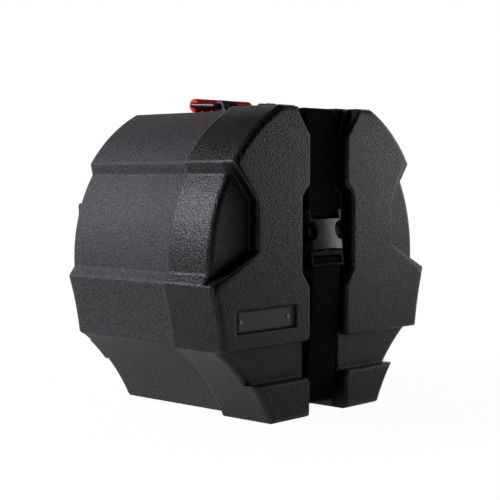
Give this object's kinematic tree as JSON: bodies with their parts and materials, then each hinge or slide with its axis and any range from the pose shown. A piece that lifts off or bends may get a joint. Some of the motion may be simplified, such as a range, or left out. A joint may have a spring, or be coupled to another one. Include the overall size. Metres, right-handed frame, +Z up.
{
  "type": "drum case",
  "caption": "Moulded drum case with a telescoping lid, strap with side-release buckle, sprung fold-down handle and foam lining.",
  "frame": {"origin": "centre of the case's footprint, on the surface that it stands on", "axes": "+Z up; the lid and its buckle face -Y; the base's rear face is +Y; +X is to the right of someone facing the lid"},
  "size_m": [0.3914, 0.26, 0.3753],
  "materials": {
    "shell_plastic": "pebble grain, satin",
    "foam": "open foam",
    "webbing": "woven, matte",
    "buckle_plastic": "satin moulded",
    "plate_metal": "satin black",
    "rivet_metal": "satin black",
    "handle_zinc": "matte grey",
    "rod_black": "gloss black",
    "grip_plastic": "satin red",
    "spring_steel": "drawn wire",
    "screw_steel": "zinc plated"
  },
  "bodies": {
    "base": {"base_shell": "shell_plastic", "base_foam_ring": "foam", "base_foam_pad": "foam", "strap_rear_loop": "webbing", "strap_anchor_plate": "plate_metal", "strap_anchor_rivets": "rivet_metal", "strap_anchor_washers": "rivet_metal", "handle_plate": "handle_zinc", "handle_spring_left": "spring_steel", "handle_spring_right": "spring_steel", "handle_screws": "screw_steel", "handle_backing_plates": "handle_zinc", "handle_nuts": "screw_steel"},
    "lid": {"lid_shell": "shell_plastic", "lid_foam_pad": "foam", "strap_upper_front": "webbing", "strap_lower_front": "webbing", "buckle_female": "buckle_plastic", "buckle_male": "buckle_plastic", "nameplate": "plate_metal", "nameplate_rivets": "rivet_metal"},
    "handle": {"handle_bail": "rod_black", "handle_grip": "grip_plastic"},
    "prong_left": {"buckle_prong_left": "buckle_plastic"},
    "prong_right": {"buckle_prong_right": "buckle_plastic"}
  },
  "joints": [
    {"name": "lid_slide", "type": "slide", "parent": "base", "child": "lid", "axis": [0, -1, 0], "range_m": [0, 0.055]},
    {"name": "handle_hinge", "type": "hinge", "parent": "base", "child": "handle", "pos_m": [0, 0.001, 0.36479], "axis": [1, 0, 0], "range_deg": [0, 90], "stiffness_Nm_per_rad": 0.15, "springref_deg": -28.65},
    {"name": "prong_left_squeeze", "type": "hinge", "parent": "lid", "child": "prong_left", "pos_m": [-0.02, -0.12626, 0.19409], "axis": [0, 0.9925, -0.1219], "range_deg": [0, 9], "stiffness_Nm_per_rad": 1, "springref_deg": -1.72},
    {"name": "prong_right_squeeze", "type": "hinge", "parent": "lid", "child": "prong_right", "pos_m": [0.02, -0.12626, 0.19409], "axis": [0, -0.9925, 0.1219], "range_deg": [0, 9], "stiffness_Nm_per_rad": 1, "springref_deg": -1.72}
  ]
}
